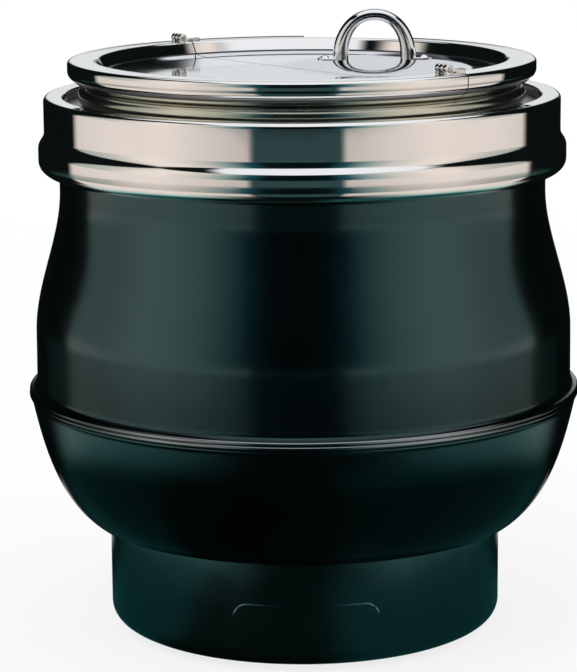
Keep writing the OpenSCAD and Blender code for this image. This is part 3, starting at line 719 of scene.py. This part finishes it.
def make_world():
    """Gloss sees a studio of panels, other rays see an even grey, and the camera sees white."""
    world = bpy.data.worlds.new("studio")
    bpy.context.scene.world = world
    net = Net(world)
    x, y, z = net.split(net.add("ShaderNodeTexCoord").outputs["Generated"])
    az = net.math("MULTIPLY", bearing_of(net, x, y), 1 / math.tau)
    az = net.math("ADD", az, 0.5)  # 0 to 1, and 0.5 is towards the front
    el = net.math("MULTIPLY", net.math("ARCSINE", z), 180 / math.pi)
    left = 2.5  # the studio's middle, in degrees to the left of the front
    side = net.math("ABSOLUTE", net.math("SUBTRACT", az, 0.5 - left / 360))
    # Two warm panels at the sides, with a dark middle that has soft edges
    around = net.ramp(side, by_degrees(
        (0, (0.001, 0.003, 0.003)), (14, (0.002, 0.008, 0.009)), (22, (0.012, 0.08, 0.10)),
        (31, (0.26, 0.36, 0.34)), (42, (0.62, 0.61, 0.55)), (59, warm(1.0)), (72, warm(1.0)),
        (91, (0.56, 0.55, 0.50)), (107, (0.42, 0.47, 0.42)), (113, (0.36, 0.42, 0.38)),
        (118, (0.03, 0.07, 0.06)), (134, (0.014, 0.045, 0.038)), (142, dark), (180, dark)))
    # From 8 degrees under eye level upwards they end hard at the back, and lower down they dim
    ends = net.math("MULTIPLY", net.step(el, -8.5, -7.5), net.step(side, 112 / 360, 119 / 360))
    around = net.mix(ends, around, dark)
    around = net.mix(net.step(el, -6.5, -11, 0, 0.34), around, dark)
    # Just under eye level, and again low down, the middle is flat teal with hard edges
    sharp = net.ramp(side, by_degrees(
        (0, teal), (19, teal), (21.5, warm(0.66)), (40, warm(0.82)), (62, warm(0.96)),
        (95, warm(0.90)), (114, warm(0.82)), (118, dark), (180, dark)))
    level = net.math("MULTIPLY", net.step(el, -9.0, -8.75), net.step(el, -3.4, -4.6))
    level = net.math("MAXIMUM", level, net.step(el, -13.2, -15.5))
    around = net.mix(level, around, sharp)
    # Higher up the panels end sooner, and over them it is dark
    high = net.math("MAXIMUM", el, 0.0)
    bend = net.math("MULTIPLY", high, net.math("MULTIPLY_ADD", high, 0.006, 0.5))
    reach = net.math("MULTIPLY_ADD", side, 360.0, bend)
    narrow = net.math("MULTIPLY", net.step(el, -1, 1), net.step(reach, 111, 117))
    around = net.mix(narrow, around, dark)
    around = net.mix(net.step(el, 44, 47), around, dark)
    # A pale wall straight behind, grey further up
    behind = net.math("MULTIPLY", net.step(side, 0.455, 0.475), net.step(el, 2, 5))
    back_wall = net.mix(net.step(el, 23, 26), soft, (0.22, 0.23, 0.25))
    around = net.mix(behind, around, back_wall)
    # A long white panel overhead, from in front to behind
    over = net.math("MULTIPLY", net.step(x, -0.52, -0.42), net.step(x, 0.70, 0.60))
    over = net.math("MULTIPLY", over, net.step(z, 0.69, 0.74))
    around = net.mix(over, around, (0.95, 0.97, 1.0))
    low = net.mix(net.step(el, -44, -56), around, (0.002, 0.004, 0.004))
    rays = net.add("ShaderNodeLightPath").outputs
    plain = net.mix(rays["Is Glossy Ray"], (0.8, 0.8, 0.8), low)
    seen = net.math("MAXIMUM", rays["Is Camera Ray"], rays["Is Transmission Ray"])
    light = net.add("ShaderNodeBackground", {"Color": net.mix(seen, plain, (1, 1, 1))})
    net.add("ShaderNodeOutputWorld", {"Surface": light.outputs[0]})


def gloss_floor_glow(net, place, away):
    """What gloss sees of the floor: a painted glow, dark close by as painted shade and pale further
    off.
    """
    near_painted_shade, far_painted_glow = (0.012, 0.070, 0.066), (0.84, 0.76, 0.69)
    x, y = net.split(place)[:2]
    bearing = bearing_of(net, x, y)
    side = net.math("ABSOLUTE", bearing)
    lit = net.math("MULTIPLY", net.step(side, 0.25, 0.95), net.step(side, 2.1, 1.7))
    shade = net.ramp(away, [
        (0.15, near_painted_shade), (0.22, near_painted_shade), (0.29, (0.022, 0.100, 0.094)),
        (0.34, (0.12, 0.28, 0.26)), (0.40, (0.38, 0.54, 0.50)), (0.50, (0.66, 0.70, 0.64)),
        (0.60, far_painted_glow)])
    shade = net.mix(lit, (0.002, 0.005, 0.005), shade)
    # Close by, the painted shade lies further to the left
    off = net.math("ABSOLUTE", net.math("ADD", bearing, 0.34))
    close = net.mix(net.step(off, 0.40, 0.72), (0.001, 0.006, 0.004), (0.012, 0.070, 0.068))
    close = net.mix(net.step(side, 1.8, 2.2), close, (0.001, 0.012, 0.010))
    shade = net.mix(net.step(away, 0.36, 0.29), shade, close)
    # Behind the object a strip glows as painted light
    strip = net.math("MULTIPLY", net.step(side, 2.2, 2.5), net.step(away, 0.20, 0.24))
    strip = net.math("MULTIPLY", strip, net.step(away, 0.34, 0.30))
    return net.mix(strip, shade, (0.9, 0.9, 0.9))


def make_floor():
    """A pale floor that takes the shadow and glows white further off."""
    bm = bmesh.new()
    bmesh.ops.create_grid(bm, x_segments=1, y_segments=1, size=6)
    mat = bpy.data.materials.new("floor_card")
    net = Net(mat)
    place = net.add("ShaderNodeTexCoord").outputs["Object"]
    away = net.vector("LENGTH", place, out="Value")
    rays = net.add("ShaderNodeLightPath").outputs
    tone = net.mix(net.noise(place, 3, 3), (0.96, 0.96, 0.96), (0.98, 0.98, 0.98))
    card = net.add("ShaderNodeBsdfDiffuse", {"Color": tone})
    glow = net.add("ShaderNodeEmission", {"Color": (1, 1, 1, 1)})
    seen = net.math("MULTIPLY", rays["Is Camera Ray"], net.step(away, 0.5, 1.8, 0.80, 1.0))
    pale = net.add("ShaderNodeMixShader", {0: seen, 1: card.outputs[0], 2: glow.outputs[0]})
    # Gloss rays see the floor as this painted glow, and through it further off.
    gloss_glow = net.add("ShaderNodeEmission", {"Color": gloss_floor_glow(net, place, away)})
    clear = net.add("ShaderNodeBsdfTransparent")
    gloss_glow = net.add("ShaderNodeMixShader", {
        0: net.step(away, 0.5, 0.7), 1: gloss_glow.outputs[0], 2: clear.outputs[0]})
    both = net.add("ShaderNodeMixShader", {
        0: rays["Is Glossy Ray"], 1: pale.outputs[0], 2: gloss_glow.outputs[0]})
    net.add("ShaderNodeOutputMaterial", {"Surface": both.outputs[0]})
    make_object("floor", bm, mat)


def make_lamp(name, place, size, energy):
    """A round soft lamp that shines on the kettle and doesn't show in its gloss."""
    aim = Vector((0, 0, 0.15))
    data = bpy.data.lights.new(name, "AREA")
    data.shape = "DISK"
    data.size = size
    data.energy = energy
    lamp = bpy.data.objects.new(name, data)
    bpy.context.scene.collection.objects.link(lamp)
    lamp.location = place
    lamp.rotation_euler = (aim - Vector(place)).to_track_quat("-Z", "Y").to_euler()
    lamp.visible_glossy = False


make_world()
make_floor()
make_lamp("key", (-1.2, -1.0, 2.4), 1.6, 16)
make_lamp("fill", (1.6, -0.6, 1.8), 1.4, 7)

view = bpy.context.scene.view_settings
view.view_transform = "Standard"
